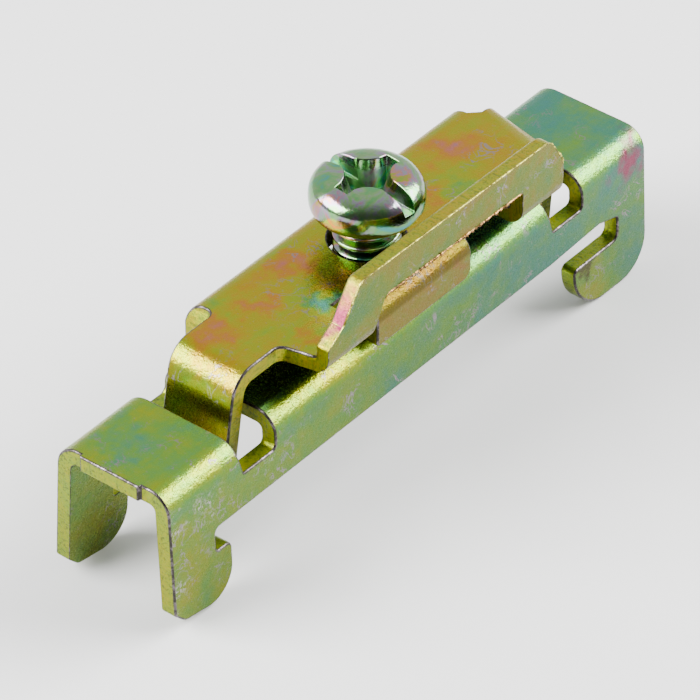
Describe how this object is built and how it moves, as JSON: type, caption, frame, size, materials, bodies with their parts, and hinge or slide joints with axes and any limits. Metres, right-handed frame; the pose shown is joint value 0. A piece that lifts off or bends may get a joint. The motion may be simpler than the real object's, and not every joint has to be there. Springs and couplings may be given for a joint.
{
  "type": "din rail end clamp",
  "caption": "Folded steel end clamp for a 35 mm rail: a hooked channel, a clamp plate with an upright stop fin, and a pan head screw.",
  "frame": {"origin": "bottom centre of the bounding box at rest, level with the lowest point of the hooks", "axes": "+X runs along the channel and across the rail, from the shallow hooks to the deep ones; +Y runs along the rail, away from the stop fin; +Z points away from the rail, along the screw"},
  "size_m": [0.0434, 0.0098, 0.0167],
  "materials": {
    "channel_zinc": "zinc plated sheet steel, iridescent yellow passivation with a green tone",
    "plate_zinc": "zinc plated sheet steel, iridescent yellow passivation with a gold tone",
    "screw_zinc": "zinc plated steel, pale iridescent passivation with a pink and straw tone"
  },
  "bodies": {
    "channel": {"base_channel": "channel_zinc"},
    "plate": {"clamp_plate": "plate_zinc"},
    "screw": {"clamp_screw": "screw_zinc"}
  },
  "joints": [
    {"name": "plate_lift", "type": "slide", "parent": "channel", "child": "plate", "axis": [0, 0, 1], "range_m": [0, 0.0021]},
    {"name": "screw_turn", "type": "hinge", "parent": "plate", "child": "screw", "pos_m": [0.00077, 0.00061, 0.0145], "axis": [0, 0, 1], "range_deg": [0, 1080]}
  ],
  "couplings": [
    {"joint": "screw_turn", "follows": "plate_lift", "rad_per_m": 8976}
  ]
}
